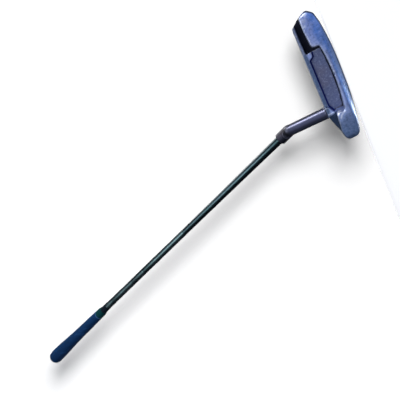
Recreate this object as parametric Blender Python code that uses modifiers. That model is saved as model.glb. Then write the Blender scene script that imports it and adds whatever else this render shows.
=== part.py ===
"""A right-handed heel-and-toe weighted blade putter with an offset plumber's neck, in metres, +Z up.

The club stands at address: +X points to the toe, +Y to the target, and the shaft leans towards the heel.
The origin is on the ground, under the middle of the flat sole.
"""

import math

import bmesh
import bpy
from mathutils import Matrix, Vector

MM = 0.001
COLLECTION = "blade_putter"

# The whole club
CLUB_LENGTH = 813 * MM  # along the shaft's axis, from the ground to the butt
SHAFT_LEAN = math.radians(21.4)  # the shaft's lean from upright, so the lie angle is 68.6 degrees
JOIN_GAP = 0.3 * MM  # left between pieces that rest on each other
FIT_GAP = 0.1 * MM  # left between pieces that sleeve over each other

# Head
HEAD_HALF_LENGTH = 60.5 * MM
HEAD_HEIGHT = 25.8 * MM
FACE_Y = 13 * MM
REAR_Y = -13 * MM
FACE_LOFT = math.radians(3)
SOLE_FLAT_HALF_X = 10 * MM
SOLE_CAMBER_RADIUS = 240 * MM  # of the sole's rise towards heel and toe, past its flat
BAR_Y = 5 * MM  # rear of the top bar, which thickens the blade's upper edge
CAVITY_Y = 7 * MM  # rear of the blade inside the cavity
NOTCH_Y = 8.6 * MM  # rear of the blade in the two end notches
BAR_UNDERSIDE_Z = 22.2 * MM
LIP_UNDERSIDE_Z = 23.1 * MM  # underside of the lip over the toe notch
FLANGE_TOP_Z = 7.7 * MM
FLANGE_CAMBER_RADIUS = 225 * MM
TOE_WEIGHT_X = 31 * MM  # inner end of the toe weight
HEEL_WEIGHT_X = -31 * MM
CAVITY_TOE_X = 26.9 * MM  # where the cavity ends and the toe notch starts
BOSS_Y = 2 * MM  # rear of the boss under the neck
TOE_END_SHOULDER_Z = 17.6 * MM  # height of the weights' tops past the ends of the head
HEEL_END_SHOULDER_Z = 12 * MM
NOTCH_STEP = 0.1 * MM  # between a weight's top and the notch behind it
CAVITY_STEP = 0.3 * MM  # from the flange down to the cavity's floor
OUTLINE_REACH = 80 * MM  # how far cutting outlines run past the head, along X
OUTLINE_TOP = 45 * MM  # and up

# Neck
POST_WIDTH = 12 * MM
POST_DEPTH = 10.6 * MM
POST_Y = 6.5 * MM
POST_FOOT_X = -31.6 * MM
POST_TOP_Z = 71 * MM
POST_LEAN = math.radians(1.5)
SPIGOT_RADIUS = 2 * MM
SPIGOT_DEPTH = 4.5 * MM
SHAFT_Y = 18.6 * MM
SOCKET_RADIUS = 6.8 * MM
SOCKET_MOUTH = Vector((-41.2 * MM, SHAFT_Y, 80.7 * MM))
SOCKET_DEPTH = 15 * MM
SOCKET_CENTRE_DEPTH = 13.5 * MM  # from the mouth down to the centre of the socket's round bottom
SOCKET_CHAMFER = 1 * MM
BRIDGE_RADIUS = 5.3 * MM  # of the short round piece that joins the socket to the post
BRIDGE_SHIFT = 0.8 * MM  # of its end in the post, towards the toe
BORE_OVERRUN = 2 * MM  # how far a bore's cutter stands out of the mouth

# Shaft
SHAFT_TIP_DIAMETER = 9.1 * MM
SHAFT_BUTT_DIAMETER = 14.7 * MM
SHAFT_STEP_PITCH = 38 * MM
SHAFT_FIRST_STEP = 190 * MM  # from the socket's mouth
SHAFT_STEPS = 14
SHAFT_STEP_RAMP = 1.5 * MM
SHAFT_WALL = 0.8 * MM
BOND_WALL = 0.25 * MM
BOND_RECESS = 0.6 * MM  # from the socket's mouth down to the adhesive
PLUG_LENGTH = 14 * MM
PLUG_RECESS = 1.5 * MM  # from the socket bore's bottom up to the cork

# Grip
GRIP_LENGTH = 267 * MM
GRIP_LIP_LENGTH = 9 * MM  # the short cone at the mouth
GRIP_LIP_RADIUS = 6.8 * MM
GRIP_MOUTH_RADIUS = 8.4 * MM
GRIP_TAPER = 5.2 * MM  # how much the radius grows from mouth to butt, the swell aside
GRIP_SWELL = 1.8 * MM  # more radius, under the upper hand
GRIP_SWELL_START = 0.5  # as a share of the length
GRIP_SWELL_SPAN = 0.4
GRIP_CAP = 5 * MM
GRIP_SEAL = 5 * MM  # length at the mouth where the bore is tight on the shaft
GRIP_VENT_RADIUS = 1.6 * MM
GRIP_BUTT_ROUND = 6 * MM
GRIP_FLAT_AT_MOUTH = 0.95  # distance of the flat front from the axis, as a share of the radius
GRIP_FLAT_AT_BUTT = 0.91
TAPE_WALL = 0.25 * MM
BAND_LENGTH = 19 * MM
BAND_WALL = 0.25 * MM

# How finely round shapes are faceted
ROUND_SEGMENTS = 32
GRIP_SEGMENTS = 48
CORNER_SEGMENTS = 6

SHAFT_FRAME = Matrix.Translation(SOCKET_MOUTH) @ Matrix.Rotation(-SHAFT_LEAN, 4, "Y")
MOUTH_TO_BUTT = CLUB_LENGTH - SOCKET_MOUTH.z / math.cos(SHAFT_LEAN)
GRIP_START = MOUTH_TO_BUTT - GRIP_LENGTH
SHAFT_END = MOUTH_TO_BUTT - GRIP_CAP - JOIN_GAP

# Local axes of an outline that is drawn in one plane and extruded across it
REAR_PLANE = Matrix(((1, 0, 0, 0), (0, 0, -1, 0), (0, 1, 0, 0), (0, 0, 0, 1)))  # drawn in X and Z
PLAN_PLANE = Matrix.Identity(4)  # drawn in X and Y
SIDE_PLANE = Matrix(((0, 0, 1, 0), (1, 0, 0, 0), (0, 1, 0, 0), (0, 0, 0, 1)))  # drawn in Y and Z


def clear_scene():
    for item in list(bpy.data.objects):
        bpy.data.objects.remove(item, do_unlink=True)


def make_collection(name):
    collection = bpy.data.collections.new(name)
    bpy.context.scene.collection.children.link(collection)
    return collection


def make_material(name, colour, roughness, metallic):
    material = bpy.data.materials.new(name)
    material.use_nodes = True
    shader = material.node_tree.nodes["Principled BSDF"]
    shader.inputs["Base Color"].default_value = (*colour, 1)
    shader.inputs["Roughness"].default_value = roughness
    shader.inputs["Metallic"].default_value = metallic
    return material


def link_mesh(name, mesh, collection, frame=None):
    item = bpy.data.objects.new(name, mesh)
    if frame is not None:
        item.matrix_world = frame
    collection.objects.link(item)
    return item


def rounded(corners):
    """The outline through corners (x, y, fillet radius), with each fillet as an arc."""
    points = []
    for index, (x, y, radius) in enumerate(corners):
        corner = Vector((x, y))
        if radius == 0:
            points.append(corner)
            continue
        before = (Vector(corners[index - 1][:2]) - corner).normalized()
        after = (Vector(corners[(index + 1) % len(corners)][:2]) - corner).normalized()
        half_angle = before.angle(after) / 2
        centre = corner + (before + after).normalized() * radius / math.sin(half_angle)
        start = corner + before * radius / math.tan(half_angle) - centre
        turn = start.angle_signed(corner + after * radius / math.tan(half_angle) - centre)
        for step in range(CORNER_SEGMENTS + 1):
            spoke = start.copy()
            spoke.rotate(Matrix.Rotation(-turn * step / CORNER_SEGMENTS, 2))
            points.append(centre + spoke)
    return points


def outline_solid(name, points, plane, low, high, collection):
    """A closed mesh: a flat outline, extruded from low to high across its plane."""
    curve = bpy.data.curves.new(name, "CURVE")
    curve.dimensions = "2D"
    curve.fill_mode = "BOTH"
    curve.extrude = (high - low) / 2
    spline = curve.splines.new("POLY")
    spline.points.add(len(points) - 1)
    for point, place in zip(spline.points, points):
        point.co = (place[0], place[1], 0, 1)
    spline.use_cyclic_u = True
    drawn = bpy.data.objects.new(name, curve)
    bpy.context.scene.collection.objects.link(drawn)
    graph = bpy.context.evaluated_depsgraph_get()
    mesh = bpy.data.meshes.new_from_object(drawn.evaluated_get(graph))
    bpy.data.objects.remove(drawn)
    shape = bmesh.new()
    shape.from_mesh(mesh)
    bmesh.ops.remove_doubles(shape, verts=shape.verts, dist=0.001 * MM)
    bmesh.ops.recalc_face_normals(shape, faces=shape.faces)
    shape.to_mesh(mesh)
    shape.free()
    middle = Matrix.Translation(Vector((0, 0, (low + high) / 2)))
    return link_mesh(name, mesh, collection, plane @ middle)


def turned_solid(name, profile, frame, collection, segments=ROUND_SEGMENTS, closed=False):
    """A profile of (radius, height) turned about the frame's Z; it runs top to bottom on its outer side."""
    mesh = bpy.data.meshes.new(name)
    edges = [(index, index + 1) for index in range(len(profile) - 1)]
    if closed:
        edges.append((len(profile) - 1, 0))
    mesh.from_pydata([(radius, 0, height) for radius, height in profile], edges, [])
    item = link_mesh(name, mesh, collection, frame)
    screw = item.modifiers.new("turn", "SCREW")
    screw.steps = segments
    screw.render_steps = segments
    screw.use_merge_vertices = True
    screw.merge_threshold = 0.001 * MM
    screw.use_smooth_shade = True
    return item


def boolean(item, tool, operation):
    """Cuts, joins or intersects item with tool, which becomes a cutter."""
    tool.hide_render = True
    tool.display_type = "WIRE"
    modifier = item.modifiers.new(f"{operation.lower()}_{tool.name}", "BOOLEAN")
    modifier.operation = operation
    modifier.object = tool


def shade_smooth_by_angle(item, angle=math.radians(35)):
    item.data.shade_smooth()
    item.data.set_sharp_from_angle(angle=angle)


def arc(centre, radius, start, end, steps):
    """Points on a circle from one angle to another, in degrees, both ends among them."""
    angles = [math.radians(start + (end - start) * step / steps) for step in range(steps + 1)]
    return [(centre[0] + radius * math.cos(a), centre[1] + radius * math.sin(a)) for a in angles]


# Head


def sole_height(x):
    """The sole's height at x: flat in the middle, cambered towards heel and toe."""
    past_flat = max(0, abs(x) - SOLE_FLAT_HALF_X)
    return SOLE_CAMBER_RADIUS - math.sqrt(SOLE_CAMBER_RADIUS**2 - past_flat**2)


def flange_height(x):
    return FLANGE_TOP_Z + FLANGE_CAMBER_RADIUS - math.sqrt(FLANGE_CAMBER_RADIUS**2 - x**2)


def head_outline():
    """Seen from behind, the toe at +X: straight top, raked toe, cambered sole, round heel, sloping heel top."""
    sole_start, sole_end, steps = -49 * MM, 46 * MM, 10
    stretch = (sole_end - sole_start) / steps
    camber = [sole_start + stretch * step for step in range(steps + 1)]
    sole = [(x, sole_height(x), 0) for x in camber if abs(x) > SOLE_FLAT_HALF_X]
    flat = [(-SOLE_FLAT_HALF_X, 0, 0), (SOLE_FLAT_HALF_X, 0, 0)]
    heel = [
        (-37.5 * MM, HEAD_HEIGHT, 1.5 * MM),
        (-57.3 * MM, 19.5 * MM, 4 * MM),
        (-62 * MM, 14.5 * MM, 4 * MM),
        (-60.6 * MM, 7 * MM, 4 * MM),
        (-55.5 * MM, sole_height(-53 * MM), 4 * MM),
    ]
    toe = [
        (56 * MM, 5 * MM, 6 * MM),
        (61.2 * MM, 10.6 * MM, 2.5 * MM),
        (57.2 * MM, 19.6 * MM, 10 * MM),
        (52.4 * MM, HEAD_HEIGHT, 0.8 * MM),
    ]
    return rounded(heel + sorted(sole + flat) + toe)


def head_plan():
    """Seen from above: a straight face, rounded rear corners and a slightly bowed rear edge."""
    end = HEAD_HALF_LENGTH + 1.5 * MM
    return rounded(
        [
            (end, FACE_Y + 1 * MM, 0),
            (-end, FACE_Y + 1 * MM, 0),
            (-end, -9.5 * MM, 7 * MM),
            (-36 * MM, -12.6 * MM, 60 * MM),
            (0, REAR_Y - 0.35 * MM, 120 * MM),
            (36 * MM, -12.6 * MM, 60 * MM),
            (end, -9.5 * MM, 7 * MM),
        ]
    )


def head_section():
    """Seen from the toe end, in Y and Z: the lofted face, the top and the rear, with a soft keel."""
    face_top_y = FACE_Y - HEAD_HEIGHT * math.tan(FACE_LOFT)
    return rounded(
        [
            (FACE_Y, 0, 2 * MM),
            (face_top_y, HEAD_HEIGHT, 0.8 * MM),
            (REAR_Y + 1.6 * MM, HEAD_HEIGHT, 0),
            (REAR_Y, 5 * MM, 3 * MM),
            (REAR_Y + 4 * MM, 0, 2.5 * MM),
        ]
    )


def flange_line(start, end, drop=0, steps=8):
    stretch = (end - start) / steps
    places = [start + stretch * step for step in range(steps + 1)]
    return [(x, flange_height(x) - drop, 0) for x in places]


def heel_weight_top(lift=0):
    """From the heel's end to the weight's rounded inner corner."""
    return [
        (-66 * MM, HEEL_END_SHOULDER_Z + lift, 0),
        (-58 * MM, 17.4 * MM + lift, 4 * MM),
        (-51 * MM, 18.9 * MM + lift, 8 * MM),
        (HEEL_WEIGHT_X - 0.6 * MM, 17.3 * MM + lift, 4.6 * MM),
    ]


def toe_weight_top(lift=0):
    """From the weight's rounded inner corner to the toe's end."""
    return [
        (TOE_WEIGHT_X - 0.4 * MM, 16.2 * MM + lift, 3 * MM),
        (46 * MM, 17.3 * MM + lift, 12 * MM),
        (66 * MM, TOE_END_SHOULDER_Z + lift, 0),
    ]


def rear_cut_outline():
    """All that is open above the weights and the flange, behind the top bar."""
    flange = [
        (HEEL_WEIGHT_X + 0.8 * MM, flange_height(HEEL_WEIGHT_X), 2.4 * MM),
        *flange_line(HEEL_WEIGHT_X + 4 * MM, TOE_WEIGHT_X - 4 * MM),
        (TOE_WEIGHT_X - 0.6 * MM, flange_height(TOE_WEIGHT_X), 2.6 * MM),
    ]
    around = [
        (OUTLINE_REACH, TOE_END_SHOULDER_Z, 0),
        (OUTLINE_REACH, OUTLINE_TOP, 0),
        (-OUTLINE_REACH, OUTLINE_TOP, 0),
        (-OUTLINE_REACH, HEEL_END_SHOULDER_Z, 0),
    ]
    return rounded(heel_weight_top() + flange + toe_weight_top() + around)


def cavity_outline():
    """The pocket in the blade's back: its upper toe corner steps down in an S, its upper heel corner slants."""
    heel, toe = -31.4 * MM, CAVITY_TOE_X
    return rounded(
        [
            (-26 * MM, BAR_UNDERSIDE_Z, 2.5 * MM),
            (heel - 2.2 * MM, 18.4 * MM, 0.8 * MM),
            (heel, 16.5 * MM, 1 * MM),
            (heel, flange_height(heel) - CAVITY_STEP, 1.2 * MM),
            *flange_line(heel + 2.4 * MM, toe - 2.4 * MM, CAVITY_STEP),
            (toe, flange_height(toe) - CAVITY_STEP, 0),
            (toe, 18.2 * MM, 0.5 * MM),
            (22.8 * MM, 18.6 * MM, 1.4 * MM),
            (20.4 * MM, BAR_UNDERSIDE_Z, 1.4 * MM),
        ]
    )


def toe_notch_outline():
    """An L: along the blade above the toe weight, and down between the weight and the cavity."""
    return rounded(
        [
            (CAVITY_TOE_X, LIP_UNDERSIDE_Z - 0.2 * MM, 0.5 * MM),
            (CAVITY_TOE_X, flange_height(CAVITY_TOE_X), 0),
            (TOE_WEIGHT_X - 0.4 * MM, flange_height(TOE_WEIGHT_X), 0.8 * MM),
            *toe_weight_top(NOTCH_STEP),
            (OUTLINE_REACH, TOE_END_SHOULDER_Z + NOTCH_STEP, 0),
            (OUTLINE_REACH, LIP_UNDERSIDE_Z + 1 * MM, 0),
        ]
    )


def heel_notch_outline():
    """The heel's end of the blade above the heel weight, open at the top."""
    return rounded(
        [
            (-34.9 * MM, OUTLINE_TOP, 0),
            (-OUTLINE_REACH, OUTLINE_TOP, 0),
            (-OUTLINE_REACH, HEEL_END_SHOULDER_Z + NOTCH_STEP, 0),
            *heel_weight_top(NOTCH_STEP)[:3],
            (-34.2 * MM, 17.8 * MM, 0.5 * MM),
            (-34.9 * MM, HEAD_HEIGHT, 0),
        ]
    )


def boss_outline():
    """The boss that carries the neck's spigot, seen from behind."""
    return rounded(
        [
            (-26 * MM, HEAD_HEIGHT, 0.5 * MM),
            (-36.4 * MM, HEAD_HEIGHT, 0.5 * MM),
            (-34 * MM, 18.2 * MM, 0.5 * MM),
            (-26.6 * MM, BAR_UNDERSIDE_Z - 0.2 * MM, 1 * MM),
        ]
    )


def make_head(parts, cutters, material):
    behind, ahead = REAR_Y - 7 * MM, FACE_Y + 7 * MM
    head = outline_solid("putter_head", head_outline(), REAR_PLANE, -ahead, -behind, parts)
    plan = outline_solid("head_plan", head_plan(), PLAN_PLANE, -5 * MM, HEAD_HEIGHT + 5 * MM, cutters)
    reach = HEAD_HALF_LENGTH + 5 * MM
    section = outline_solid("head_section", head_section(), SIDE_PLANE, -reach, reach, cutters)
    boolean(head, plan, "INTERSECT")
    boolean(head, section, "INTERSECT")
    for name, outline, depth in (
        ("rear_cut", rear_cut_outline(), BAR_Y),
        ("cavity", cavity_outline(), CAVITY_Y),
        ("toe_notch", toe_notch_outline(), NOTCH_Y),
        ("heel_notch", heel_notch_outline(), NOTCH_Y),
    ):
        boolean(head, outline_solid(name, outline, REAR_PLANE, -depth, -behind, cutters), "DIFFERENCE")
    blade_middle = NOTCH_Y + 0.5 * MM
    boss = outline_solid("neck_boss", boss_outline(), REAR_PLANE, -blade_middle, -BOSS_Y, cutters)
    boolean(head, boss, "UNION")
    hole_depth = SPIGOT_DEPTH + JOIN_GAP
    hole_radius = SPIGOT_RADIUS + FIT_GAP
    hole = [(0, BORE_OVERRUN), (hole_radius, BORE_OVERRUN), (hole_radius, -hole_depth), (0, -hole_depth)]
    boolean(head, turned_solid("spigot_hole", hole, post_frame(), cutters), "DIFFERENCE")
    head.data.materials.append(material)
    return head


# Neck


def post_frame():
    """The post's foot, on top of the head, with Z up the post."""
    return Matrix.Translation(Vector((POST_FOOT_X, POST_Y, HEAD_HEIGHT))) @ Matrix.Rotation(-POST_LEAN, 4, "Y")


def make_neck(parts, cutters, material):
    radius = POST_WIDTH / 2
    height = (POST_TOP_Z - HEAD_HEIGHT) / math.cos(POST_LEAN)
    dome = [(radius * math.cos(a), height - radius + radius * math.sin(a)) for a in quarter_turn()]
    profile = dome + [
        (radius, JOIN_GAP),
        (SPIGOT_RADIUS, JOIN_GAP),
        (SPIGOT_RADIUS, -SPIGOT_DEPTH),
        (0, -SPIGOT_DEPTH),
    ]
    flattened = post_frame() @ Matrix.Diagonal((1, POST_DEPTH / POST_WIDTH, 1, 1))
    neck = turned_solid("offset_neck", profile, flattened, parts)

    bottom = -SOCKET_CENTRE_DEPTH
    low_dome = [(SOCKET_RADIUS * math.cos(a), bottom - SOCKET_RADIUS * math.sin(a)) for a in quarter_turn()]
    low_dome.reverse()
    socket_profile = [(0, 0), (SOCKET_RADIUS - SOCKET_CHAMFER, 0), (SOCKET_RADIUS, -SOCKET_CHAMFER), *low_dome]
    boolean(neck, turned_solid("socket", socket_profile, SHAFT_FRAME, cutters), "UNION")

    socket_bottom = SHAFT_FRAME @ Vector((0, 0, bottom))
    post_side = Vector((socket_bottom.x + BRIDGE_SHIFT, POST_Y, socket_bottom.z))
    run = socket_bottom - post_side
    frame = Matrix.Translation(post_side) @ run.to_track_quat("Z", "Y").to_matrix().to_4x4()
    bridge = [(0, run.length), (BRIDGE_RADIUS, run.length), (BRIDGE_RADIUS, 0), (0, 0)]
    boolean(neck, turned_solid("bridge", bridge, frame, cutters), "UNION")

    bore_radius = SHAFT_TIP_DIAMETER / 2 + 2 * FIT_GAP + BOND_WALL
    bore = [(0, BORE_OVERRUN), (bore_radius, BORE_OVERRUN), (bore_radius, -SOCKET_DEPTH), (0, -SOCKET_DEPTH)]
    boolean(neck, turned_solid("socket_bore", bore, SHAFT_FRAME, cutters), "DIFFERENCE")
    neck.data.materials.append(material)
    return neck


def quarter_turn(steps=6):
    """Angles from the pole down to the equator."""
    return [math.pi / 2 * (1 - step / steps) for step in range(steps + 1)]


# Shaft and what is on it


def shaft_radius(height):
    """Outer radius of the stepped tube, at a height above the socket's mouth."""
    steps = math.floor((height - SHAFT_FIRST_STEP) / SHAFT_STEP_PITCH) + 1
    steps = min(max(steps, 0), SHAFT_STEPS)
    return (SHAFT_TIP_DIAMETER + (SHAFT_BUTT_DIAMETER - SHAFT_TIP_DIAMETER) * steps / SHAFT_STEPS) / 2


def make_shaft(parts, material):
    tip = -SOCKET_DEPTH + JOIN_GAP
    outside = [(shaft_radius(tip), tip)]
    for step in range(SHAFT_STEPS):
        height = SHAFT_FIRST_STEP + SHAFT_STEP_PITCH * step
        if height + SHAFT_STEP_RAMP < SHAFT_END:
            outside.append((shaft_radius(height - SHAFT_STEP_RAMP), height - SHAFT_STEP_RAMP))
            outside.append((shaft_radius(height), height))
    outside.append((outside[-1][0], SHAFT_END))
    outside.reverse()
    tip_bore = SHAFT_TIP_DIAMETER / 2 - SHAFT_WALL
    inside = [(tip_bore, tip), (tip_bore, SHAFT_FIRST_STEP), (outside[0][0] - SHAFT_WALL, SHAFT_END)]
    shaft = turned_solid("shaft", outside + inside, SHAFT_FRAME, parts, closed=True)
    shaft.data.materials.append(material)
    return shaft


def sleeve(name, low, high, low_radius, high_radius, wall, parts, material):
    """A thin tapered tube on the shaft's axis, given by its bore at both ends."""
    profile = [
        (high_radius + wall, high),
        (low_radius + wall, low),
        (low_radius, low),
        (high_radius, high),
    ]
    item = turned_solid(name, profile, SHAFT_FRAME, parts, closed=True)
    item.data.materials.append(material)
    return item


def make_bond(parts, material):
    """The cured adhesive between the shaft's tip and the socket's bore."""
    radius = SHAFT_TIP_DIAMETER / 2 + FIT_GAP
    return sleeve("epoxy_bond", -SOCKET_DEPTH + JOIN_GAP, -BOND_RECESS, radius, radius, BOND_WALL, parts, material)


def make_tip_plug(parts, material):
    """The cork that keeps the adhesive out of the tube."""
    radius, round_off = SHAFT_TIP_DIAMETER / 2 - SHAFT_WALL - JOIN_GAP, 0.6 * MM
    bottom = -SOCKET_DEPTH + PLUG_RECESS
    top = bottom + PLUG_LENGTH
    profile = [
        (0, top),
        (radius - round_off, top),
        (radius, top - round_off),
        (radius, bottom + round_off),
        (radius - round_off, bottom),
        (0, bottom),
    ]
    plug = turned_solid("tip_plug", profile, SHAFT_FRAME, parts)
    plug.data.materials.append(material)
    return plug


def tape_bore(height):
    """Bore of the tape and, a wall further out, of the grip: a cone that clears every step of the shaft."""
    rise = (SHAFT_BUTT_DIAMETER - SHAFT_TIP_DIAMETER) / 2 / SHAFT_STEPS
    steps = (height - SHAFT_FIRST_STEP) / SHAFT_STEP_PITCH + 1
    return SHAFT_TIP_DIAMETER / 2 + rise * steps + FIT_GAP


def make_tape(parts, material):
    low, high = GRIP_START + GRIP_SEAL + 1 * MM, SHAFT_END - 1 * MM
    return sleeve("grip_tape", low, high, tape_bore(low), tape_bore(high), TAPE_WALL, parts, material)


def make_band(parts, material):
    high = GRIP_START - JOIN_GAP
    low = high - BAND_LENGTH
    radius = shaft_radius(high) + FIT_GAP
    return sleeve("grip_end_band", low, high, radius, radius, BAND_WALL, parts, material)


def grip_radius(share):
    """Outer radius along the grip, from its mouth at 0 to its butt at 1: an even taper and a swell."""
    swell = min(max((share - GRIP_SWELL_START) / GRIP_SWELL_SPAN, 0), 1)
    return GRIP_MOUTH_RADIUS + GRIP_TAPER * share + GRIP_SWELL * swell * swell * (3 - 2 * swell)


def make_grip(parts, cutters, material):
    body_start = GRIP_LIP_LENGTH / GRIP_LENGTH
    butt_start = 1 - GRIP_BUTT_ROUND / GRIP_LENGTH
    butt_radius = grip_radius(butt_start)
    corner = (butt_radius - GRIP_BUTT_ROUND, MOUTH_TO_BUTT - GRIP_BUTT_ROUND)
    butt = arc(corner, GRIP_BUTT_ROUND, 90, 0, 6)
    steps = 14
    shares = [body_start + (butt_start - body_start) * step / steps for step in range(steps)]
    body = [(grip_radius(share), GRIP_START + GRIP_LENGTH * share) for share in reversed(shares)]
    lip = [(GRIP_LIP_RADIUS, GRIP_START)]
    cap_inside = MOUTH_TO_BUTT - GRIP_CAP
    clear = TAPE_WALL + FIT_GAP
    seal_end = GRIP_START + GRIP_SEAL
    seal_radius = shaft_radius(seal_end) + FIT_GAP
    bore = [
        (seal_radius, GRIP_START),
        (seal_radius, seal_end),
        (tape_bore(seal_end) + clear, seal_end),
        (tape_bore(cap_inside) + clear, cap_inside),
        (GRIP_VENT_RADIUS, cap_inside),
        (GRIP_VENT_RADIUS, MOUTH_TO_BUTT),
    ]
    grip = turned_solid("grip", butt + body + lip + bore, SHAFT_FRAME, parts, GRIP_SEGMENTS, closed=True)

    # The flat front, for the thumbs: a plane that starts behind the mouth's lip and leaves the axis with the taper.
    low = Vector((grip_radius(body_start) * GRIP_FLAT_AT_MOUTH, 0, GRIP_START + GRIP_LIP_LENGTH))
    high = Vector((butt_radius * GRIP_FLAT_AT_BUTT, 0, MOUTH_TO_BUTT))
    tilt = math.atan2(high.x - low.x, high.z - low.z)
    width, depth = 40 * MM, 10 * MM
    slab = bpy.data.meshes.new("grip_flat")
    shape = bmesh.new()
    box = Matrix.Diagonal((depth, width, 1.4 * GRIP_LENGTH, 1))
    bmesh.ops.create_cube(shape, size=1, matrix=Matrix.Translation(Vector((depth / 2, 0, 0))) @ box)
    shape.to_mesh(slab)
    shape.free()
    frame = SHAFT_FRAME @ Matrix.Translation((low + high) / 2) @ Matrix.Rotation(tilt, 4, "Y")
    boolean(grip, link_mesh("grip_flat", slab, cutters, frame), "DIFFERENCE")
    grip.data.materials.append(material)
    return grip


def main():
    clear_scene()
    parts = make_collection(COLLECTION)
    cutters = make_collection("cutters")
    head_metal = make_material("blue_steel", (0.16, 0.22, 0.48), 0.35, 0.9)
    neck_metal = make_material("grey_steel", (0.15, 0.15, 0.22), 0.35, 0.9)
    shaft_metal = make_material("dark_plate", (0.04, 0.08, 0.08), 0.25, 0.9)
    adhesive = make_material("adhesive", (0.5, 0.45, 0.35), 0.4, 0)
    cork = make_material("cork", (0.45, 0.3, 0.17), 0.9, 0)
    tape = make_material("paper_tape", (0.7, 0.66, 0.55), 0.8, 0)
    band = make_material("black_band", (0.01, 0.01, 0.015), 0.5, 0)
    rubber = make_material("navy_rubber", (0.01, 0.03, 0.1), 0.6, 0)

    head = make_head(parts, cutters, head_metal)
    shade_smooth_by_angle(head)
    make_neck(parts, cutters, neck_metal)
    make_shaft(parts, shaft_metal)
    make_bond(parts, adhesive)
    make_tip_plug(parts, cork)
    make_tape(parts, tape)
    make_band(parts, band)
    make_grip(parts, cutters, rubber)


main()
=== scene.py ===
"""The looks of the blade putter: detailed pieces, materials, light and camera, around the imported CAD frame."""
import math

import bmesh
import bpy
import numpy as np
from mathutils import Matrix, Vector


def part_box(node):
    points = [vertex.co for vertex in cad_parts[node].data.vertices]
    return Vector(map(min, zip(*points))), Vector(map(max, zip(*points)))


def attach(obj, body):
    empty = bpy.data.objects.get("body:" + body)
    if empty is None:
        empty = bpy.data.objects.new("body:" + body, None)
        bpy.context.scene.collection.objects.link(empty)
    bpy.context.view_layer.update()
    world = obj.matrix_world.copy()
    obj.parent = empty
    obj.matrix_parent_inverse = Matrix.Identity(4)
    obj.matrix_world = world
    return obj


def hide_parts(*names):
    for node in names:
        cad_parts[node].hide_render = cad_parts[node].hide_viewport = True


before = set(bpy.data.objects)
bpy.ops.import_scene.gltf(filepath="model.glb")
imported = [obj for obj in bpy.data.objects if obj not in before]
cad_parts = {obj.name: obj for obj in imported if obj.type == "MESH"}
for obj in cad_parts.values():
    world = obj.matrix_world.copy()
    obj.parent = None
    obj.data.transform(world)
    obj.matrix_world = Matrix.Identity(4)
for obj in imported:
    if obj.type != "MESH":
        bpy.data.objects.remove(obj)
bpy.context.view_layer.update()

MM = 0.001
JOIN_GAP = 0.3 * MM  # left between pieces that would otherwise touch
FIT_GAP = 0.1 * MM  # left between pieces that sleeve over each other

# The CAD's frame for everything on the shaft: Z runs up the shaft from the socket's mouth
CLUB_LENGTH = 813 * MM
MOUTH_X, MOUTH_Y, MOUTH_Z = -41.2 * MM, 18.6 * MM, 80.7 * MM
SHAFT_LEAN = math.radians(21.4)
SHAFT_FRAME = Matrix.Translation((MOUTH_X, MOUTH_Y, MOUTH_Z)) @ Matrix.Rotation(-SHAFT_LEAN, 4, "Y")
MOUTH_TO_BUTT = CLUB_LENGTH - MOUTH_Z / math.cos(SHAFT_LEAN)

HEAD_VOXEL = 0.42 * MM
NECK_VOXEL = 0.32 * MM

# Neck's post, in the CAD's frame, and the weld bead round its foot
POST_WIDTH, POST_DEPTH = 12 * MM, 10.6 * MM
POST_FOOT = Vector((-31.6 * MM, 6.5 * MM, 25.8 * MM))
POST_LEAN = math.radians(1.5)
BEAD_FOOT_RADIUS, BEAD_TOP_RADIUS = 6.35 * MM, 5.9 * MM
BEAD_HEIGHT = 1.4 * MM
BEAD_CENTRE = 0.75 * MM  # above the post's foot

SOCKET_DEPTH = 15 * MM
SHAFT_TIP_RADIUS = 4.55 * MM
SHAFT_BUTT_RADIUS = 7.35 * MM
SHAFT_FIRST_STEP = 190 * MM
SHAFT_STEP_PITCH = 38 * MM
SHAFT_STEP_RAMP = 1.5 * MM
SHAFT_STEPS = 14
SHAFT_WALL = 0.8 * MM
SHAFT_CHAMFER = 0.3 * MM

BAND_LENGTH = 19 * MM
BAND_WALL = 0.25 * MM
BAND_TURNS = 3
TAPE_WALL = 0.25 * MM
TAPE_OVERLAP = 0.02 * MM  # how far the lap of a turn of tape stands out

GRIP_LENGTH = 267 * MM
GRIP_START = MOUTH_TO_BUTT - GRIP_LENGTH
GRIP_LIP_LENGTH = 9 * MM
GRIP_LIP_RADIUS = 6.8 * MM
GRIP_COLLAR_LENGTH = 20 * MM
GRIP_CAP = 5 * MM
GRIP_SEAL = 5 * MM
GRIP_BUTT_ROUND = 6 * MM
GRIP_VENT_RADIUS = 1.6 * MM
GRIP_FLAT_AT_MOUTH = 0.95  # distance of the flat front from the axis, as a share of the radius
GRIP_FLAT_AT_BUTT = 0.91
GRIP_TRIM = 0.996  # of the CAD's radius: keeps the finer skin inside the CAD's
BUTT_TRIM = 0.05 * MM  # and the finer butt
FLAT_TRIM = 0.03 * MM  # and the finer flat
SHAFT_END = MOUTH_TO_BUTT - GRIP_CAP - JOIN_GAP


# Meshes


def link(item):
    bpy.context.scene.collection.objects.link(item)
    return item


def add_piece(name, mesh, material, node):
    """Puts a finished mesh in the scene, in place of a CAD node."""
    item = link(bpy.data.objects.new(name, mesh))
    mesh.materials.clear()
    mesh.materials.append(material)
    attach(item, "root")
    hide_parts(node)
    return item


def coordinates(mesh):
    flat = np.zeros(len(mesh.vertices) * 3, np.float32)
    mesh.vertices.foreach_get("co", flat)
    return flat.reshape(-1, 3).astype(float)


def set_coordinates(mesh, places):
    mesh.vertices.foreach_set("co", places.astype(np.float32).ravel())
    mesh.update()


def vertex_normals(mesh):
    flat = np.zeros(len(mesh.vertices) * 3, np.float32)
    mesh.vertex_normals.foreach_get("vector", flat)
    return flat.reshape(-1, 3).astype(float)


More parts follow.
